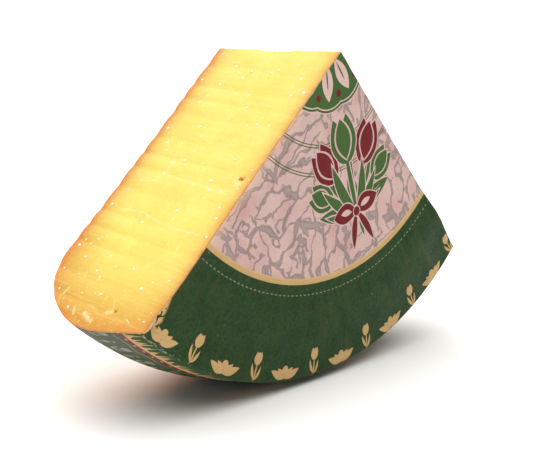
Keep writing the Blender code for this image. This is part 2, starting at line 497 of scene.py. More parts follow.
def shape_cheese(paste):
    """The whole quarter as one closed skin: two cuts, the rim, and the hidden face and back."""
    shape = bmesh.new()
    cut_place = shape.verts.layers.float_vector.new("cut_place")
    outlines = (CutOutline(False), CutOutline(True))
    for outline in outlines:
        add_patch(shape, CUT_COLUMNS, CUT_ROWS, outline.place, 0)

    def rays_to(row, point_on):
        """Places in rays from the tip to one row of the rind, on the face or the back."""

        def place(i, j):
            end = bare_skin_point(row, j / SKIN_COLUMNS)
            spot = TIP.lerp(end, i / CUT_COLUMNS)
            return end if i == CUT_COLUMNS else point_on(spot.x, spot.z)

        return place

    add_patch(shape, SKIN_COLUMNS, CUT_ROWS, lambda i, j: bare_skin_point(j, i / SKIN_COLUMNS), 1)
    add_patch(shape, CUT_COLUMNS, SKIN_COLUMNS, rays_to(0, bare_face_point), 1)
    add_patch(shape, CUT_COLUMNS, SKIN_COLUMNS, rays_to(CUT_ROWS, back_point), 1)
    bmesh.ops.remove_doubles(shape, verts=shape.verts[:], dist=2 * ON_CUT)
    bmesh.ops.recalc_face_normals(shape, faces=shape.faces[:])
    rims = []
    for outline in outlines:
        rim = kdtree.KDTree(len(outline.rim))
        for i, spot in enumerate(outline.rim):
            rim.insert((spot.x, spot.y, 0.0), i)
        rim.balance()
        rims.append(rim)
    for point in shape.verts:
        near, far, depth = from_tip(point.co)
        coloured_depth = depth_between_faces(point.co.x, point.co.z, depth)
        if abs(far) < ON_CUT:
            point.co -= FAR_WAY * cut_relief(near, depth, False, paste.stroke_depth)
            point.co.z -= tip_dip(near, depth, paste.tip_dip)
            point[cut_place] = (near, coloured_depth, rims[0].find((near, depth, 0.0))[2])
        if abs(near) < ON_CUT:
            point.co -= NEAR_WAY * cut_relief(far, depth, True, paste.stroke_depth)
            if abs(far) >= ON_CUT:
                point.co.z -= tip_dip(far, depth, paste.tip_dip)
                point[cut_place] = (far, coloured_depth, rims[1].find((far, depth, 0.0))[2])
        under_paper = depth < LABEL_END_DEPTH + PAST_PAPER
        point.co.z = max(point.co.z, STAND_LIFT if under_paper else 0.0)
    return shape


def rim_room(distance, depth, far):
    """How far inside the rim or shoulder a place on a cut lies, measured from the wheel's axis."""
    ways = (TIP_FAR, TIP_NEAR) if far else (TIP_NEAR, TIP_FAR)
    radius = math.hypot(ways[0] + distance, ways[1])
    if depth < RIM_DEPTH:
        return rim_radius(depth) - radius
    turn = math.asin(min((depth - RIM_DEPTH) / (THICKNESS - RIM_DEPTH), 1.0))
    return RIM_RADIUS - BACK_SHOULDER * (1 - math.cos(turn)) - radius


CRYSTAL_MARGIN = 0.0035      # between a crystal's middle and the rim
CRYSTAL_GAP = 0.0042         # between two crystals' middles
CRYSTAL_SINK = 0.08          # sink, widths and heights are shares of a crystal's radius
CRYSTAL_WIDTHS = (0.62, 1.0)
CRYSTAL_HEIGHTS = (0.24, 0.36)
BRIGHT_SIZES = (0.72, 1.04)  # sizes are shares of the radius in the settings
FAINT_SIZES = (0.36, 0.60)


def scatter_crystals(paste, crystals):
    """Small flat grains, half sunk in both cuts."""
    shape = bmesh.new()
    for far in (False, True):
        chance = random.Random(77 if far else 45)
        way, out = (FAR_WAY, -NEAR_WAY) if far else (NEAR_WAY, -FAR_WAY)
        taken = []
        wanted = crystals.bright + crystals.faint
        tries = 0
        while len(taken) < wanted and tries < wanted * 40:
            tries += 1
            distance = chance.uniform(0.004, 0.183)
            depth = chance.uniform(0.0035, THICKNESS - 0.004)
            spot = Vector((distance, depth))
            crowded = any((spot - other).length < CRYSTAL_GAP for other in taken)
            if crowded or rim_room(distance, depth, far) < CRYSTAL_MARGIN:
                continue
            sizes = BRIGHT_SIZES if len(taken) < crystals.bright else FAINT_SIZES
            radius = crystals.radius * chance.uniform(*sizes)
            taken.append(spot)
            relief = cut_relief(distance, depth, far, paste.stroke_depth)
            centre = TIP + way * distance + out * (relief - radius * CRYSTAL_SINK)
            centre.y = depth - RIM_DEPTH
            stretch = Matrix.Diagonal((
                1.0, chance.uniform(*CRYSTAL_WIDTHS), chance.uniform(*CRYSTAL_HEIGHTS), 1.0,
            ))
            spun = Matrix.Rotation(chance.uniform(0, math.tau), 4, "Z")
            tilted = out.to_track_quat("Z", "Y").to_matrix().to_4x4()
            sunk = Matrix.Translation(centre) @ tilted @ spun @ stretch
            bmesh.ops.create_icosphere(shape, subdivisions=1, radius=radius, matrix=sunk)
    return shape


def shape_label(paste, label):
    """The sheet's outer side: rays from the tip over the face, then rows over the ridge and down the rim."""
    shape = bmesh.new()
    label_place = shape.verts.layers.float_vector.new("label_place")
    proud = PAPER_INSIDE + label.paper
    ridge_width = (RIDGE - FACE_END) * 2
    lengths = [FACE_END + ridge_width * j / LABEL_RIDGE_ROWS for j in range(LABEL_RIDGE_ROWS + 1)]
    start = lengths[-1]
    lengths += [start + (LABEL_END - start) * j / LABEL_RIM_ROWS for j in range(1, LABEL_RIM_ROWS + 1)]

    def on_sheet(i, j):
        """Where a corner of the sheet goes on the wheel, and where it lies on the flat print."""
        share = i / LABEL_COLUMNS
        if j <= LABEL_FACE_ROWS:
            spot = TIP.lerp(skin_point(FACE_END, share, proud), j / LABEL_FACE_ROWS)
            made = face_point(spot.x, spot.z, proud)
            return made, (spot.x - WHEEL_CENTRE.x, spot.z - WHEEL_CENTRE.z, 0.0)
        length = lengths[j - LABEL_FACE_ROWS]
        made = skin_point(length, share, proud)
        angle = around_axis(made.x, made.z)[1]
        if j == LABEL_FACE_ROWS + len(lengths) - 1:
            made = skin_point(length + 0.0005 * noise.noise(made / 0.006), share, proud)
        return made, (length * math.sin(angle), -length * math.cos(angle), on_section(length)[0])

    def place(i, j):
        made = follow_cuts(on_sheet(i, j)[0], paste.stroke_depth, 0.004)
        made.z = max(made.z, 0.0)
        return made

    for point, i, j in add_patch(shape, LABEL_COLUMNS, LABEL_FACE_ROWS + len(lengths) - 1, place, 0):
        point[label_place] = on_sheet(i, j)[1]
    bmesh.ops.remove_doubles(shape, verts=shape.verts[:], dist=ON_CUT)
    bmesh.ops.recalc_face_normals(shape, faces=shape.faces[:])
    if sum(face.normal.y * face.calc_area() for face in shape.faces) > 0:
        bmesh.ops.reverse_faces(shape, faces=shape.faces[:])
    return shape


# Shader helpers


def feed(slot, value):
    """Gives a socket a fixed value, or links it to one that varies."""
    if isinstance(value, Field):
        slot.id_data.links.new(value.socket, slot)
    elif slot.type == "RGBA" and len(value) == 3:
        slot.default_value = (*value, 1.0)
    else:
        slot.default_value = value


def feed_all(node, values):
    for name, value in values.items():
        feed(node.inputs[name], value)


def add_node(tree, kind, values, result=0, **options):
    """Adds a node, sets its options, feeds its inputs and returns one of its outputs as a field."""
    node = tree.nodes.new("ShaderNode" + kind)
    for name, option in options.items():
        setattr(node, name, option)
    feed_all(node, values)
    return Field(node.outputs[result])


class Field:
    """A value that varies over a surface. Its arithmetic adds the shader nodes that work it out."""

    def __init__(self, socket):
        self.socket = socket
        self.tree = socket.id_data

    def work_out(self, operation, *others, clamp=False):
        values = dict(enumerate((self, *others)))
        return add_node(self.tree, "Math", values, operation=operation, use_clamp=clamp)

    def __rsub__(self, other):
        return self.work_out("MULTIPLY_ADD", -1.0, other)

    def within(self, blur=0.2):
        """1 where the value is above 0 and 0 where it is below, with an edge this wide."""
        return self.work_out("MULTIPLY_ADD", 1.0 / blur, 0.5, clamp=True)

    def step(self, start, end, low=0.0, high=1.0):
        """Goes smoothly from low at start to high at end."""
        values = {"Value": self, "From Min": start, "From Max": end, "To Min": low, "To Max": high}
        return add_node(self.tree, "MapRange", values, "Result", interpolation_type="SMOOTHSTEP")


FIELD_METHODS = {
    "__add__": "ADD", "__radd__": "ADD", "__sub__": "SUBTRACT", "__mul__": "MULTIPLY", "__rmul__": "MULTIPLY",
    "__truediv__": "DIVIDE", "__abs__": "ABSOLUTE", "times_plus": "MULTIPLY_ADD", "least": "MINIMUM",
    "most": "MAXIMUM", "floor": "FLOOR", "fraction": "FRACT", "power": "POWER", "root": "SQRT",
    "exponent": "EXPONENT", "sine": "SINE", "cosine": "COSINE",
}
for method, operation in FIELD_METHODS.items():
    setattr(Field, method, partialmethod(Field.work_out, operation))


def attribute(tree, name):
    return add_node(tree, "Attribute", {}, "Vector", attribute_name=name)


def object_place(tree):
    return add_node(tree, "TexCoord", {}, "Object")


def split(vector):
    node = vector.tree.nodes.new("ShaderNodeSeparateXYZ")
    feed(node.inputs[0], vector)
    return [Field(slot) for slot in node.outputs]


def join(x, y, z):
    return add_node(x.tree, "CombineXYZ", {0: x, 1: y, 2: z})


def cloud(vector, scale, detail=2.0, roughness=0.5, distortion=0.0):
    """Soft noise about 0.5."""
    values = {"Vector": vector, "Scale": scale, "Detail": detail}
    values.update({"Roughness": roughness, "Distortion": distortion})
    return add_node(vector.tree, "TexNoise", values, "Fac")


def cells(vector, scale, feature, dimensions="2D"):
    """Distance to the edge or the middle of scattered cells, in cells."""
    values = {"Vector": vector, "Scale": scale}
    return add_node(
        vector.tree, "TexVoronoi", values, "Distance", voronoi_dimensions=dimensions, feature=feature,
    )


def chance_at(number):
    """A random value from 0 to 1 for each whole number."""
    return add_node(number.tree, "TexWhiteNoise", {"W": number}, "Value", noise_dimensions="1D")


def coats(colour, *layers):
    """A colour with others laid over it, as (share, colour) or (share, colour, way), the lowest one first."""
    for share, over, *way in layers:
        values = {0: share, 6: colour, 7: over}
        colour = add_node(share.tree, "Mix", values, 2, data_type="RGBA", blend_type=way[0] if way else "MIX")
    return colour


def tint(colour, *factors):
    """A colour times one factor, or times one each for red, green and blue, and never above 1."""
    return tuple(min(value * factor, 1.0) for value, factor in zip(colour, factors * (3 // len(factors))))


def new_material(name):
    made = bpy.data.materials.new(name)
    made.use_nodes = True
    return made, made.node_tree


def finish_material(made, inputs, *bumps):
    """Feeds a material's shader and bumps it by (height, distance, strength), the broadest bumps first."""
    shader = made.node_tree.nodes["Principled BSDF"]
    normal = None
    for height, distance, strength in bumps:
        values = {"Height": height, "Distance": distance, "Strength": strength}
        if normal:
            values["Normal"] = normal
        normal = add_node(made.node_tree, "Bump", values, "Normal")
    if normal:
        inputs["Normal"] = normal
    feed_all(shader, inputs)
    return made


def use_group(name, inputs, outputs, fill, *values):
    """Places a node group and returns its outputs. Its first use makes it, with fill's nodes inside."""
    group = bpy.data.node_groups.get(name)
    if not group:
        group = bpy.data.node_groups.new(name, "ShaderNodeTree")
        for label in inputs:
            kind = "NodeSocketVector" if label == "Place" else "NodeSocketFloat"
            group.interface.new_socket(name=label, in_out="INPUT", socket_type=kind)
        for label in outputs:
            group.interface.new_socket(name=label, in_out="OUTPUT", socket_type="NodeSocketFloat")
        entry = group.nodes.new("NodeGroupInput")
        leave = group.nodes.new("NodeGroupOutput")
        for slot, result in zip(leave.inputs, fill(*(Field(entry.outputs[label]) for label in inputs))):
            feed(slot, result)
    node = values[0].tree.nodes.new("ShaderNodeGroup")
    node.node_tree = group
    for slot, value in zip(node.inputs, values):
        feed(slot, value)
    return [Field(slot) for slot in node.outputs]


def mottle(place, size):
    """Soft blotches of two sizes, for every finish that isn't even: about 0, between -1 and 1."""

    def fill(place, size):
        scale = size.power(-1.0)
        broad = cloud(place, scale, 3.0, 0.55)
        fine = cloud(place, scale * 9.0, 2.0, 0.6)
        return broad.times_plus(3.2, -1.6), fine.times_plus(3.2, -1.6)

    return use_group("Mottle", ("Place", "Size"), ("Blotches", "Specks"), fill, place, size)


def scuffing(place, size, share):
    """Places rubbed bare: a mask that breaks up into short scratches and flecks."""

    def fill(place, size, share):
        scale = size.power(-1.0)
        height = cloud(place, scale * 0.22).times_plus(0.9, cloud(place, scale, 4.0, 0.7) * 0.6)
        return [(height - share.times_plus(-0.75, 1.15)).within(0.05)]

    return use_group("Scuffs", ("Place", "Size", "Share"), ("Mask",), fill, place, size, share)[0]


# The cheese's finishes


def stretch_away(x, y, start, end):
    """How far a place lies from the straight stretch between two places."""
    step = Vector(end) - Vector(start)
    length = step.length
    way = step / length
    along = x.times_plus(way.x, y * way.y - (start[0] * way.x + start[1] * way.y))
    beside = x.times_plus(way.y, y * -way.x - (start[0] * way.y - start[1] * way.x))
    past = (abs(along - length / 2) - length / 2).most(0.0)
    return (past * past + beside * beside).root()


def paste_material(paste):
    """Golden paste: browner towards the rind, with knife lines, dry patches and fine grain."""
    made, tree = new_material("gouda_paste")
    place = attribute(tree, "cut_place")
    reach, depth, rim = split(place)
    warp = cloud(place, 90.0, 3.0, 0.55) - 0.5
    wander = cloud(place, 26.0) - 0.5
    blotches, specks = mottle(place, 0.020)
    clouds, grains = mottle(place, 0.0062)
    near_rim = (rim + wander * 0.016 + warp * 0.006).step(0.036, -0.002)
    toward_rim = (reach + wander * 0.04).step(0.128, 0.196)
    by_side = ((depth + warp * 0.0022) * -215.0).exponent()
    by_back = ((THICKNESS - depth + warp * 0.0030) * -165.0).exponent()
    by_rim = ((rim + warp * 0.0035) * -190.0).exponent()
    by_skin = by_side.most(by_rim * 0.9).most(by_back * 1.30)
    sides = depth.least(THICKNESS - depth)
    arris = (sides.least(rim) + warp * 0.0005).step(0.0009, 0.0001)
    along = reach + depth * STROKE_SLANT
    lines = cloud(join(along * 620.0, depth * 22.0, 0.0), 1.0, 2.0, 0.6)
    fine_lines = cloud(join(along * 1900.0, depth * 30.0, 4.0), 1.0, 1.0)
    dry = cloud(place, 210.0, 3.0, 0.7)
    dry_patches = (dry + near_rim * 0.06 - 0.745).within(0.02)
    on_near = (split(object_place(tree))[0] * -1.0 + (TIP.x + 0.0001)).within(0.0001)
    chips = cloud(place, 700.0, 3.0, 0.7)
    fray = (chips - 0.5) * 4.4 - 0.15
    for start, end, width in DRY_MARKS:
        patch = 1.0 - stretch_away(reach, depth, start, end) * (1 / width) + fray
        dry_patches = dry_patches.most(patch.within(0.7) * on_near * 0.85)
    crack = abs(cloud(place, 60.0, 2.0, 0.5, 0.6) - 0.5)
    cracks = (0.0035 - crack).within(0.003) * (cloud(place, 35.0) - 0.60).within(0.05)
    shift = cloud(place, 160.0, 3.0, 0.6) - 0.5
    shifted = (reach + shift * 0.0030, depth + shift * 0.0016)
    nearest = None
    for chain in CRACKS:
        for start, end in zip(chain, chain[1:]):
            away = stretch_away(*shifted, start, end)
            nearest = nearest.least(away) if nearest else away
    drawn = (chips * 0.0011 - 0.00012 - nearest).within(0.0004) * on_near
    # Painted shade: darker arris colour laid on the first two holes, standing in for the shade inside them
    painted_hole_shade = [disc(reach, depth, spot, radius).within(0.0006) * on_near for spot, radius in HOLE_SHADE_SPOTS]
    colour = coats(
        paste.heart,
        (toward_rim * 0.45, paste.warm),
        (near_rim.power(1.2) * 0.95, paste.warm),
        (by_skin.work_out("MULTIPLY", 0.95, clamp=True), paste.edge),
        (arris * 0.8, paste.arris),
        ((lines - 0.64).within(0.10) * 0.20, paste.pale),
        (dry_patches * 0.75, paste.pale),
        (cracks.most(drawn) * 0.5, paste.pale),
        (blotches.step(-1.0, 1.0, 0.0, 0.16), paste.warm),
        (clouds.step(-0.9, 0.9, 0.0, 0.12), paste.warm),
        (specks.step(0.1, 1.0, 0.0, 0.30), paste.pale),
        (grains.step(0.1, 1.0, 0.0, 0.22), paste.warm),
        *((hole_shade * 0.75, paste.arris) for hole_shade in painted_hole_shade),
    )
    inputs = {
        "Base Color": colour,
        "Roughness": blotches.step(-1.0, 1.0, 0.36, 0.56) + dry_patches * 0.25,
        "Subsurface Weight": 0.45,
        "Subsurface Radius": (1.0, 0.55, 0.12),
        "Subsurface Scale": 0.004,
        "Specular IOR Level": 0.42,
    }
    return finish_material(
        made, inputs, (lines, 0.00022, 0.30), (fine_lines, 0.00010, 0.25), (clouds, 0.00020, 0.25),
        (cloud(place, 900.0, 3.0, 0.6), 0.00010, 0.35), (dry_patches * -1.0, 0.0003, 0.4),
    )


def rind_material(rind):
    """Waxy golden rind with darker blotches, pores and dry rubbed places."""
    made, tree = new_material("golden_rind")
    place = object_place(tree)
    across, _, up = split(place)
    blotches, specks = mottle(place, 0.030)
    small, grain = mottle(place, 0.007)
    scuffs = scuffing(place, 0.004, 0.24)
    pores = (0.32 - cells(place, 420.0, "F1", "3D")).within(0.12) * (cloud(place, 70.0) - 0.60).within(0.1)
    boards = cloud(join(across * 9.0, up * 44.0, 2.0), 1.0)
    colour = coats(
        rind.golden,
        (blotches.step(-1.4, 1.4, 0.0, 0.62), rind.brown),
        (boards.step(0.35, 0.70, 0.0, 0.22), rind.brown),
        (small.step(-0.6, 1.2, 0.0, 0.28), rind.brown),
        (scuffs * 0.35, rind.scuff),
        (pores * 0.4, rind.brown),
        (specks.step(0.3, 1.0, 0.0, 0.30), rind.scuff),
    )
    inputs = {
        "Base Color": colour,
        "Roughness": blotches.step(-1.0, 1.0, 0.38, 0.55) + scuffs * 0.2,
        "Subsurface Weight": 0.20,
        "Subsurface Radius": (1.0, 0.5, 0.12),
        "Subsurface Scale": 0.002,
        "Coat Weight": 0.15,
        "Coat Roughness": 0.35,
    }
    return finish_material(
        made, inputs, (small, 0.0006, 0.35), (cloud(place, 520.0, 3.0, 0.6), 0.0002, 0.5),
        (grain, 0.00012, 0.4), (pores * -1.0, 0.0004, 0.7),
    )


def crystal_material(crystals):
    """Dry white grains with a slight glow of the paste."""
    made, tree = new_material("crystal_white")
    blotches, specks = mottle(object_place(tree), 0.0012)
    inputs = {
        "Base Color": coats(crystals.colour, (blotches.step(-0.8, 0.8), tint(crystals.colour, 0.90))),
        "Roughness": specks.step(-1.0, 1.0, 0.35, 0.6),
        "Subsurface Weight": 0.12,
        "Subsurface Radius": (1.0, 0.9, 0.7),
        "Subsurface Scale": 0.0008,
    }
    return finish_material(made, inputs, (blotches, 0.0001, 0.4))


# The print, drawn in millimetres on the flat sheet

RING_MIDDLE = 126.85        # of the ochre ring, from the wheel's axis
BAND_START = 128.3          # where the green band begins outside it
DASHES = 134.0              # the dashed line on the band
BORDER_FOOT = 178.6         # the border's tulips stand on this round
BLADE_FOOT = 12.6           # the rim's blades stand at this depth
RIM_LINE = 13.25            # the ochre line under them
RED_BANDS = (16.6, 46.9)    # the depths of the two dark red bands
RIM_RADIUS_MM = RIM_RADIUS * 1000


def leaf(x, y, foot, turn, length, width, bend=0.0):
    """How far inside a pointed leaf a place lies. It grows from its foot, turned to the right."""
    side = math.sin(turn)
    rise = math.cos(turn)
    start = (foot[0] * side + foot[1] * rise) / length
    along = x.times_plus(side / length, y.times_plus(rise / length, -start))
    across = x.times_plus(rise, y.times_plus(-side, foot[1] * side - foot[0] * rise))
    squared = along * along
    if bend:
        across = squared.times_plus(-bend, across)
    return (along - squared).times_plus(2.0 * width, abs(across) * -1.0)


def leaves(x, y, *shapes):
    """The same for several leaves at once, each given by leaf's values from the foot on."""
    inside = leaf(x, y, *shapes[0])
    for shape in shapes[1:]:
        inside = inside.most(leaf(x, y, *shape))
    return inside


def disc(x, y, centre, radius, squash=1.0):
    """How far inside a round or squashed dot a place lies."""
    side = x - centre[0]
    rise = (y - centre[1]) * squash
    return radius - (side * side + rise * rise).root()


def tulip(across, up):
    """A tulip one unit tall, on the origin: its flower, its stem with two leaves, and fine lines."""

    def fill(x, y):
        middle = leaf(x, y, (0.0, 0.56), 0.0, 0.44, 0.24)
        petals = leaves(
            x, y, ((-0.02, 0.54), -0.38, 0.47, 0.22, 0.10), ((0.02, 0.54), 0.38, 0.47, 0.22, -0.10),
        )
        flower = middle.most(petals).most(disc(x, y, (0.0, 0.69), 0.155, 0.95))
        greens = leaves(
            x, y, ((0.0, -0.10), 0.0, 0.82, 0.062), ((0.0, 0.0), -0.70, 0.60, 0.13, 0.20),
            ((0.0, 0.0), 0.80, 0.50, 0.12, -0.20),
        )
        return flower, greens, 0.012 - abs(middle)

    return use_group("Tulip", ("Across", "Up"), ("Flower", "Greens", "Lines"), fill, across, up)


def marble(x, y, label):
    """Mottled pink ground crossed by crooked grey veins that close on long pointed shapes and small loops."""
    flat = join(x, y, 0.0)
    shake = cloud(flat, 0.11) - 0.5
    drift = cloud(flat, 0.035, 1.0) - 0.5
    region = cloud(join(x, y, 9.0), 0.030, 1.0)
    width = cloud(flat, 0.085).step(0.36, 0.66, 0.20, 0.85)
    nearest = None
    for turn, low, high, pitch in ((58, -1.0, 0.47, 8.4), (-34, 0.47, 0.54, 7.6), (8, 0.54, 2.0, 8.8)):
        side = math.sin(math.radians(turn))
        rise = math.cos(math.radians(turn))
        along = x.times_plus(side, y * rise) + drift * 26.0 + shake * -9.0
        across = x.times_plus(rise, y * -side) + shake * 11.0
        shapes = cells(join(across, along * 0.36 + turn, 0.0), 1 / pitch, "DISTANCE_TO_EDGE") * pitch
        outside = (abs(region - (low + high) / 2) - (high - low) / 2).most(0.0)
        own = shapes + outside * 45.0
        nearest = nearest.least(own) if nearest else own
    dots = cells(join(x + shake * 7.0, y - shake * 6.0, 0.0), 1 / 15, "F1") * 15.0
    loops = abs(dots - 2.1) + (0.56 - cloud(flat, 0.062, 1.0)).most(0.0) * 25.0
    veins = width - nearest.least(loops + 0.05)
    blotches, specks = mottle(flat, 17.0)
    fibres, dust = mottle(flat, 2.4)
    rosy = tint(label.pink, 1.0, 0.80, 0.84)
    dark = tint(label.vein, 0.62)
    return coats(
        label.pink,
        (blotches.step(-0.8, 0.8), tint(label.pink, 1.12)),
        (cloud(flat, 0.040).step(0.46, 0.70, 0.0, 0.8), rosy),
        (veins.within(0.45) * 0.75, label.vein),
        ((0.26 - abs(veins)).within(0.40) * 0.62, dark),
        (specks.step(0.1, 1.2, 0.0, 0.55), label.fibre),
        (fibres.step(0.0, 1.0, 0.0, 0.20), dark),
        (dust.step(0.1, 1.2, 0.0, 0.40), rosy),
    )


def rosette(reach, angle, colour, label):
    """Twelve pale petals on a scalloped green round, about the wheel's centre."""
    pitch = math.pi / 6

    def in_sector(shift):
        """The turn from the middle of the nearest of twelve sectors, and where a place lies beside it."""
        turn = ((angle / pitch + shift).fraction() - 0.5) * pitch
        return turn, reach * turn.sine(), reach * turn.cosine()

    turn, x, y = in_sector(40.25)
    scallop = turn.cosine().times_plus(46.0, -7.0)
    ground = scallop - reach
    petal = leaf(x, y, (0.0, 13.5), 0.0, 20.0, 8.6)
    ring = 0.35 - abs(ground - 1.6)
    light = tint(label.pink, 1.15)
    return coats(
        colour,
        ((ground + 0.6).within(), light),
        (ground.within(), label.leaf),
        (petal.most(ring).within(), light),
        (leaf(x, y, (0.0, 15.0), 0.0, 13.0, 1.1).within(), label.leaf),
        (disc(*in_sector(40.75)[1:], (0.0, 31.2), 1.9).within(), label.red),
    )


def bouquet(x, y, colour, label):
    """Five tulips fanned out from a dark red bow."""
    lean = math.radians(17)
    across = x.times_plus(math.cos(lean), y * math.sin(lean))
    rise = x.times_plus(-math.sin(lean), y.times_plus(math.cos(lean), 98.0))
    light = tint(label.pink, 1.10)
    for turn, length, width in ((-1.50, 30.0, 8.5), (1.52, 31.0, 8.5), (-0.62, 47.0, 9.0), (0.66, 46.0, 9.0)):
        bend = 4.0 if turn < 0 else -4.0
        blade = leaf(across, rise, (0.0, 2.0), turn, length, width, bend)
        rib = leaf(across, rise, (0.0, 2.0), turn, length * 0.8, 0.9, bend)
        inside = blade.least(0.1 - rib)
        colour = coats(colour, ((blade + 0.6).within(), light), (inside.within(), label.leaf))
    for turn, side, length in ((0.12, 0.8, 15.0), (-0.30, -2.2, 13.0), (0.50, 2.6, 13.0)):
        stalk = leaf(across, rise, (side, -1.0), math.pi - turn, length, 2.6)
        colour = coats(colour, (stalk.within(), label.leaf))
    heads = (
        (-54, 40.0, label.leaf), (56, 41.0, label.leaf), (-27, 49.0, label.red),
        (28, 50.0, label.red), (0, 54.0, label.leaf),
    )
    for degrees, size, petals in heads:
        side = math.sin(math.radians(degrees)) / size
        climb = math.cos(math.radians(degrees)) / size
        own_across = across.times_plus(climb, rise * -side)
        flower, greens, lines = tulip(own_across, across.times_plus(side, rise * climb))
        blur = 0.2 / size
        colour = coats(
            colour,
            ((flower.most(greens) + 0.75 / size).within(blur), light),
            (greens.within(blur), label.leaf),
            (flower.within(blur), petals),
            (lines.least(flower).within(blur) * 0.9, light),
        )
    bow = leaves(
        across, rise, ((0.0, 0.0), 1.25, 19.0, 11.0, 3.0), ((0.0, 0.0), -1.25, 19.0, 11.0, -3.0),
        ((0.0, 0.0), 2.55, 23.0, 4.6, 4.0), ((0.0, 0.0), -2.60, 21.0, 4.6, -4.0),
    ).most(disc(across, rise, (0.0, 0.0), 3.2))
    eyes = leaves(across, rise, ((4.0, 1.2), 1.25, 9.0, 3.6, 1.0), ((-4.0, 1.2), -1.25, 9.0, 3.6, -1.0))
    knot = 0.28 - abs(disc(across, rise, (0.0, 0.0), 2.9))
    return coats(
        colour, ((bow + 0.7).within(), light), (bow.within(), label.red), (eyes.most(knot).within(), light),
    )


def border(reach, angle):
    """Ochre tulips and low leaf sprays that stand on the ridge: how far inside one a place lies."""
    pitch = math.radians(15)
    cell = (angle / pitch + 40.62).fraction() - 0.5
    height = BORDER_FOOT - reach
    flower, greens, _ = tulip(cell * reach * (pitch / 15.0), height * (1 / 14.5))
    between = (0.5 - abs(cell)) * reach * pitch
    sprays = leaves(between, height, ((0.0, 0.6), 1.30, 11.5, 4.0, -1.4), ((0.0, 0.4), 0.66, 8.0, 3.0, 1.0))
    bud = disc(between, height, (0.0, 4.6), 2.3, 0.85)
    return (flower.most(greens) * 14.5).most(sprays).most(bud)


def blades(angle, depth, pitch, tall, shift):
    """Narrow uneven blades that stand on the rim's ochre line and point to the ridge."""
    number = angle * (RIM_RADIUS_MM / pitch) + shift
    own = chance_at(number.floor())
    height = own.times_plus(tall * 0.6, tall * 0.5)
    share = (BLADE_FOOT - depth) / height
    lean = own.times_plus(2.2, -1.1)
    beside = (number.fraction() - 0.5) * pitch - share * share * lean
    return (1.0 - share) * (pitch * 0.22) - abs(beside)


def rim_print(angle, depth, label):
    """The print below the ridge: ochre blades, an ochre line, a dark red band and a pale tulip frieze."""
    light = tint(label.fibre, 0.85)
    grass = blades(angle, depth, 4.6, 11.0, 0.2).most(blades(angle, depth, 6.1, 9.0, 0.7))
    from_upper, from_lower = (abs(depth - band) for band in RED_BANDS)
    bands = (2.1 - from_upper).most(2.7 - from_lower)
    step = (angle * (180 / math.pi / 2.1) + 60.0).fraction() - 0.5
    diamonds = 0.95 - abs(step) * 6.4 - from_upper.least(from_lower)
    pitch = math.radians(5.6)
    cell = (angle / pitch + 40.1).fraction() - 0.5
    flower, greens, lines = tulip(cell * (RIM_RADIUS_MM * pitch / 13.0), (38.6 - depth) * (1 / 13.5))
    frieze = flower.most(greens).least(flower.least(lines).most(0.0) * -4.0 + 1.0)
    between = (0.5 - abs(cell)) * (RIM_RADIUS_MM * pitch)
    sprig = leaf(between, depth, (0.0, 38.6), math.pi, 8.5, 2.4).most(disc(between, depth, (0.0, 28.2), 0.9))
    wave = 0.32 - abs(depth - 20.9 - (angle * 66.0).sine() * 0.7)
    pale = (frieze * 13.0).most(sprig).most(wave).most(0.3 - abs(depth - 43.3))
    return coats(
        label.green,
        (grass.least(12.9 - depth).within(), label.gold),
        ((1.25 - abs(depth - RIM_LINE)).within(0.15), label.gold),
        (bands.within(0.15), label.red),
        (diamonds.within(), light),
        (pale.within() * 0.55, light),
    )


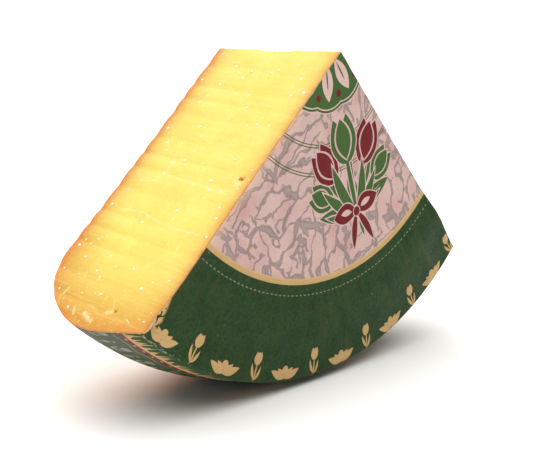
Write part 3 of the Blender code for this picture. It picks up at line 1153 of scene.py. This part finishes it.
def label_material(label):
    """Uncoated printed paper: the print, its stains and wear, painted sheen on the rim near the near cut, and
    the grain of the sheet.
    """
    made, tree = new_material("printed_paper")
    x, y, depth = [value * 1000.0 for value in split(attribute(tree, "label_place"))]
    flat = join(x, y, 0.0)
    blotches, _ = mottle(flat, 13.0)
    fibres, dust = mottle(flat, 1.8)
    wobble = fibres * 0.10
    x = x + wobble
    y = y - dust * 0.06
    depth = depth + wobble
    reach = (x * x + y * y).root()
    angle = x.work_out("ARCTAN2", y * -1.0)
    near_cut = x.times_plus(FAR_WAY.x, y.times_plus(FAR_WAY.z, -TIP_FAR * 1000))
    streaks = cloud(join(angle * 26.0, reach * 0.03, 3.0), 1.0, 3.0, 0.6)

    # The marbled field with its rings, rosette and flowers
    peach_share = (near_cut + blotches * 1.5).step(6.5, -0.5)
    rings = (0.27 - abs(abs(reach - 55.8) - 0.75)).most(0.27 - abs(abs(reach - 70.8) - 0.75))
    colour = coats(
        marble(x, y, label),
        (peach_share * 0.42, from_screen(250, 206, 170)),
        (rings.within(0.15), label.leaf),
    )
    colour = rosette(reach, angle, colour, label)
    colour = bouquet(x, y, colour, label)

    # The green band, its ochre ring and the rim below the ridge
    deep = tint(label.green, 0.46)
    dash = 0.62 - abs((angle * 42.0).fraction() - 0.5) * 2.4
    dash = dash.least(0.30 - abs(reach - DASHES))
    band = coats(
        label.green,
        (fibres.step(-0.7, 0.9), deep),
        (blotches.step(-0.3, 1.1, 0.0, 0.50), deep),
        (streaks.step(0.48, 0.70, 0.0, 0.70), tint(label.green, 1.7, 0.95, 0.60)),
        (dash.within(0.12) * 0.36, label.fibre),
        (border(reach, angle).within(0.25), label.gold),
    )
    pale_gold = tint(label.gold, 1.15)
    colour = coats(
        colour,
        ((reach - BAND_START).within(), band),
        ((1.55 - abs(reach - RING_MIDDLE)).within(), label.gold),
        ((0.35 - abs(reach - 125.6)).within(0.3), pale_gold),
        ((depth - 1.3).within(0.3), rim_print(angle, depth, label)),
    )

    # Stains, worn and torn places, and painted sheen on the rim near the near cut
    ochre = (0.55, 0.24, 0.05)
    stain = cloud(flat, 0.16, 3.0, 0.6).step(0.56, 0.72) * (reach - 150.0).step(0.0, 30.0)
    spot = disc(x, y, (-53.9, -101.4), 1.5).within(0.9)
    outside = (reach - BAND_START).within(0.3)
    scuffs = scuffing(flat, 1.7, 0.20)
    worn_ridge = (abs(reach - RIDGE * 1000 - 0.5) * -0.55).exponent() * angle.step(-0.25, -0.75, 0.35, 1.0)
    broken = cloud(join(angle * 62.0, reach * 0.9, near_cut * 0.12), 1.0, 3.0, 0.6)
    bare = worn_ridge * 0.34 + broken * 1.10 + cloud(flat, 0.06, 1.0) * 0.45 + dust * 0.05
    bare = (bare - 1.16).within(0.16) * 0.62
    bare = bare.most((reach - LABEL_END * 1000 + 1.0 + dust * 0.6).within(0.5) * 0.8)
    bare = bare.most((broken * 1.6 - 0.80 + dust * 0.3 - near_cut).within(0.4) * 0.35)
    # Painted sheen: the rim near the near cut is painted paler grey for the glancing light on it, together
    # with some rubbing
    rubbed_and_painted_sheen = (depth - 3.0).step(0.0, 22.0) * (near_cut - 55.0 + broken * 40.0).step(22.0, -22.0)
    torn = (3.0 - near_cut * 0.9 - abs(reach - 170.0) * 0.34 + streaks * 1.6 + dust * 1.5).within(0.6)
    torn = torn * (cloud(flat, 0.34, 2.0, 0.6, 0.8) - 0.42).within(0.03)
    shade = (0.80, 0.80, 0.80)
    colour = coats(
        colour,
        (stain * 0.30, ochre, "MULTIPLY"),
        (spot * 0.5, ochre),
        (peach_share * outside * 0.45, from_screen(74, 74, 30)),
        (rubbed_and_painted_sheen * dust.step(-0.9, 0.7, 0.06, 0.34), label.vein),
        (torn * 0.95, pale_gold),
        (scuffs * 0.25, label.fibre),
        (bare * 0.85, label.fibre),
        (blotches.step(-0.9, 0.9, 0.0, 0.35), shade, "MULTIPLY"),
        (dust.step(-0.5, 0.9, 0.0, 1.0), shade, "MULTIPLY"),
    )
    inputs = {
        "Base Color": colour,
        "Roughness": blotches.step(-1.0, 1.0, 0.50, 0.66) + bare * 0.2,
        "Specular IOR Level": 0.16,
    }
    return finish_material(
        made, inputs, (blotches, 0.0010, 0.25), (streaks, 0.0009, 0.30), (fibres, 0.00018, 0.35),
        (dust, 0.00008, 0.35), (bare * -1.0, 0.0002, 0.5),
    )


def paper_edge_material(label):
    """The torn or cut edge of the sheet, and its back."""
    made, tree = new_material("paper_edge")
    blotches, specks = mottle(object_place(tree), 0.004)
    dull = tint(label.fibre, 0.98, 0.86, 0.66)
    warm = tint(label.fibre, 0.84, 0.55, 0.26)
    inputs = {
        "Base Color": coats(dull, (blotches.step(-0.8, 0.8), warm)),
        "Roughness": specks.step(-1.0, 1.0, 0.75, 0.95),
    }
    return finish_material(made, inputs, (specks, 0.0001, 0.5))


def floor_material():
    """A plain pale floor with the faintest unevenness."""
    made, tree = new_material("studio_floor")
    blotches, _ = mottle(object_place(tree), 0.8)
    colour = coats((0.93, 0.93, 0.93), (blotches.step(-1.0, 1.0), (0.95, 0.95, 0.95)))
    return finish_material(made, {"Base Color": colour, "Roughness": 0.65, "Specular IOR Level": 0.2})


# The camera, as fitted to the photo, the lamp and the floor
CAMERA_PLACE = WHEEL_CENTRE + Vector((-0.4275, -0.3687, 0.0089))
CAMERA_TURN = (math.radians(78.97), 0.0, math.radians(-46.27))
LENS_LENGTH = 73.09
SENSOR_WIDTH = 36.0
LAMP_WAY = Vector((0.06, -0.05, -1.0))
LAMP_SPREAD = math.radians(95)
LAMP_COLOUR = (1.0, 0.985, 0.95)
FLOOR_HALF = 6.0
FLOOR_DROP = 0.0002         # keeps the floor clear of the flat that the rim rests on

# Operators


class GOUDA_OT_cheese(bpy.types.Operator):
    """Build the quarter of cheese with its two cuts and its rind"""

    bl_idname = "gouda.cheese"
    bl_label = "Cheese"

    def execute(self, context):
        scene = context.scene
        shape = shape_cheese(scene.gouda_paste)
        piece = new_piece(
            "gouda_quarter", shape, [paste_material(scene.gouda_paste), rind_material(scene.gouda_rind)],
        )
        piece.data.shade_smooth()
        piece.data.set_sharp_from_angle(angle=math.radians(40))
        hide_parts("cheese_wedge")
        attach(piece, "root")
        return {"FINISHED"}


class GOUDA_OT_crystals(bpy.types.Operator):
    """Stud both cuts with white crystals"""

    bl_idname = "gouda.crystals"
    bl_label = "Crystals"

    def execute(self, context):
        scene = context.scene
        shape = scatter_crystals(scene.gouda_paste, scene.gouda_crystals)
        piece = new_piece("cheese_crystals", shape, [crystal_material(scene.gouda_crystals)])
        piece.data.shade_smooth()
        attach(piece, "root")
        return {"FINISHED"}


class GOUDA_OT_label(bpy.types.Operator):
    """Lay the printed paper over the face and round the rim"""

    bl_idname = "gouda.label"
    bl_label = "Label"

    def execute(self, context):
        scene = context.scene
        label = scene.gouda_label
        shape = shape_label(scene.gouda_paste, label)
        piece = new_piece("paper_wrap", shape, [label_material(label), paper_edge_material(label)])
        piece.data.shade_smooth()
        sheet = piece.modifiers.new("paper", "SOLIDIFY")
        sheet.thickness = label.paper
        sheet.offset = -1.0
        sheet.use_rim = True
        sheet.material_offset = 1
        sheet.material_offset_rim = 1
        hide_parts("paper_label")
        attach(piece, "root")
        return {"FINISHED"}


class GOUDA_OT_stage(bpy.types.Operator):
    """Set up the floor, the soft light and the camera"""

    bl_idname = "gouda.stage"
    bl_label = "Stage"

    def execute(self, context):
        scene = context.scene
        studio = scene.gouda_studio
        shape = bmesh.new()
        bmesh.ops.create_grid(shape, x_segments=8, y_segments=8, size=FLOOR_HALF)
        bmesh.ops.translate(shape, verts=shape.verts[:], vec=(0.0, 0.0, -FLOOR_DROP))
        new_piece("studio_floor", shape, [floor_material()])

        world = bpy.data.worlds.new("white_surroundings")
        world.use_nodes = True
        tree = world.node_tree
        background = tree.nodes["Background"]
        feed(background.inputs["Color"], (1.0, 1.0, 1.0))
        seen = add_node(tree, "LightPath", {}, "Is Camera Ray")
        feed(background.inputs["Strength"], seen.times_plus(1.0 - studio.fill, studio.fill))
        scene.world = world

        key = bpy.data.lights.new("key_light", "SUN")
        key.energy = studio.key_power
        key.angle = LAMP_SPREAD
        key.color = LAMP_COLOUR
        lamp = bpy.data.objects.new("key_light", key)
        lamp.rotation_euler = LAMP_WAY.to_track_quat("-Z", "Y").to_euler()
        context.collection.objects.link(lamp)

        lens = bpy.data.cameras.new("camera")
        lens.lens = LENS_LENGTH
        lens.sensor_width = SENSOR_WIDTH
        lens.sensor_fit = "HORIZONTAL"
        camera = bpy.data.objects.new("camera", lens)
        camera.location = CAMERA_PLACE
        camera.rotation_euler = CAMERA_TURN
        context.collection.objects.link(camera)
        scene.camera = camera
        scene.view_settings.view_transform = "Standard"
        scene.view_settings.look = "None"
        return {"FINISHED"}


class GOUDA_PT_panel(bpy.types.Panel):
    """Lists the steps that build the cheese, with their settings"""

    bl_idname = "GOUDA_PT_panel"
    bl_label = "Aged Gouda Quarter"
    bl_space_type = "VIEW_3D"
    bl_region_type = "UI"
    bl_category = "Gouda"

    def draw(self, context):
        scene = context.scene
        for step, settings in (
            ("gouda.cheese", (scene.gouda_paste, scene.gouda_rind)),
            ("gouda.crystals", (scene.gouda_crystals,)),
            ("gouda.label", (scene.gouda_label,)),
            ("gouda.stage", (scene.gouda_studio,)),
        ):
            box = self.layout.box()
            box.operator(step)
            for group in settings:
                for name in group.bl_rna.properties.keys():
                    if name not in ("name", "rna_type"):
                        box.prop(group, name)


SETTINGS = {
    "gouda_paste": GoudaPaste,
    "gouda_crystals": GoudaCrystals,
    "gouda_rind": GoudaRind,
    "gouda_label": GoudaLabel,
    "gouda_studio": GoudaStudio,
}
OPERATORS = (GOUDA_OT_cheese, GOUDA_OT_crystals, GOUDA_OT_label, GOUDA_OT_stage)
CLASSES = (*SETTINGS.values(), *OPERATORS, GOUDA_PT_panel)


def register():
    for item in CLASSES:
        bpy.utils.register_class(item)
    for name, group in SETTINGS.items():
        setattr(bpy.types.Scene, name, bpy.props.PointerProperty(type=group))


def unregister():
    for name in SETTINGS:
        delattr(bpy.types.Scene, name)
    for item in reversed(CLASSES):
        bpy.utils.unregister_class(item)


def main():
    register()
    bpy.ops.gouda.stage()
    bpy.ops.gouda.cheese()
    bpy.ops.gouda.crystals()
    bpy.ops.gouda.label()


if __name__ == "__main__":
    main()
